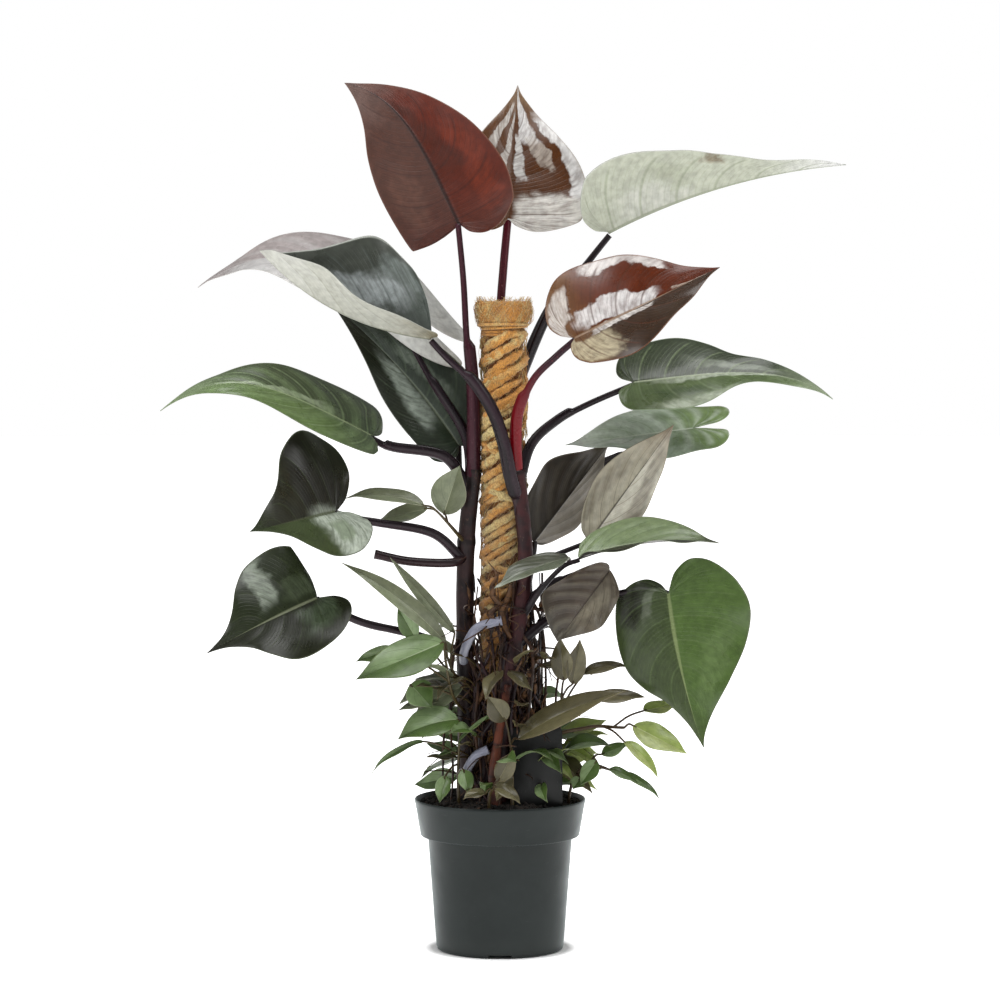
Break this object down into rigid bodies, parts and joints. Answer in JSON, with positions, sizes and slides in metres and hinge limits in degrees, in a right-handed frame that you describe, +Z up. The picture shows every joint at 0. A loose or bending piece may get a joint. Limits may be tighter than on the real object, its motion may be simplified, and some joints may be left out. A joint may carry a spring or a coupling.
{
  "type": "potted royal queen philodendron",
  "caption": "Climbing aroid with large pointed heart-shaped leaves on long stalks, trained up a coir pole in a round nursery pot.",
  "frame": {"origin": "centre of the pot's base, on the surface that it stands on", "axes": "+Z up along the pole; the plant's front, as in the picture, faces -Y, with +X to its right"},
  "size_m": [0.7593, 0.2804, 0.9632],
  "materials": {
    "pot": "satin",
    "soil": "matte",
    "pole_core": "matte",
    "coir": "matte",
    "plant_tag": "satin",
    "stem_dark": "satin",
    "stem_red_brown": "satin",
    "leaf_copper": "gloss",
    "leaf_bronze": "gloss",
    "leaf_sage": "satin",
    "leaf_green": "satin",
    "leaf_mint": "satin",
    "leaf_taupe": "satin",
    "leaf_dark": "gloss",
    "leaf_mauve": "satin",
    "petiole_dark": "satin",
    "petiole_crimson": "satin",
    "shoot_pale": "satin",
    "shoot_green": "satin",
    "shoot_olive": "satin",
    "shoot_lime": "satin"
  },
  "bodies": {
    "root": {"pot": "pot", "soil": "soil", "pole_core": "pole_core", "coir_wrap": "coir", "plant_tag": "plant_tag", "stem_left": "stem_dark", "stem_right": "stem_red_brown", "stem_back": "stem_dark", "leaf_01": "leaf_copper", "leaf_02": "leaf_bronze", "leaf_03": "leaf_sage", "leaf_04": "leaf_copper", "leaf_05": "leaf_green", "leaf_06": "leaf_mint", "leaf_07": "leaf_taupe", "leaf_08": "leaf_taupe", "leaf_09": "leaf_mint", "leaf_10": "leaf_mint", "leaf_11": "leaf_taupe", "leaf_12": "leaf_green", "leaf_13": "leaf_dark", "leaf_14": "leaf_dark", "leaf_15": "leaf_green", "leaf_16": "leaf_dark", "leaf_17": "leaf_mauve", "leaf_18": "leaf_dark", "petiole_01": "petiole_dark", "petiole_02": "petiole_crimson", "petiole_03": "petiole_dark", "petiole_04": "petiole_crimson", "petiole_05": "petiole_dark", "petiole_06": "petiole_dark", "petiole_07": "petiole_dark", "petiole_08": "petiole_dark", "petiole_09": "petiole_dark", "petiole_10": "petiole_dark", "petiole_11": "petiole_dark", "petiole_12": "petiole_dark", "petiole_13": "petiole_dark", "petiole_14": "petiole_dark", "petiole_15": "petiole_dark", "petiole_16": "petiole_dark", "petiole_17": "petiole_dark", "petiole_18": "petiole_dark", "shoot_left_top": "shoot_pale", "shoot_left_long": "shoot_pale", "shoot_left_bright": "shoot_green", "shoot_left_low": "shoot_green", "shoot_front": "shoot_olive", "shoot_right_upright": "shoot_olive", "shoot_right_lime": "shoot_lime", "shoot_right_small": "shoot_green", "shoot_rim": "shoot_olive", "shoot_back": "shoot_green"}
  },
  "joints": []
}
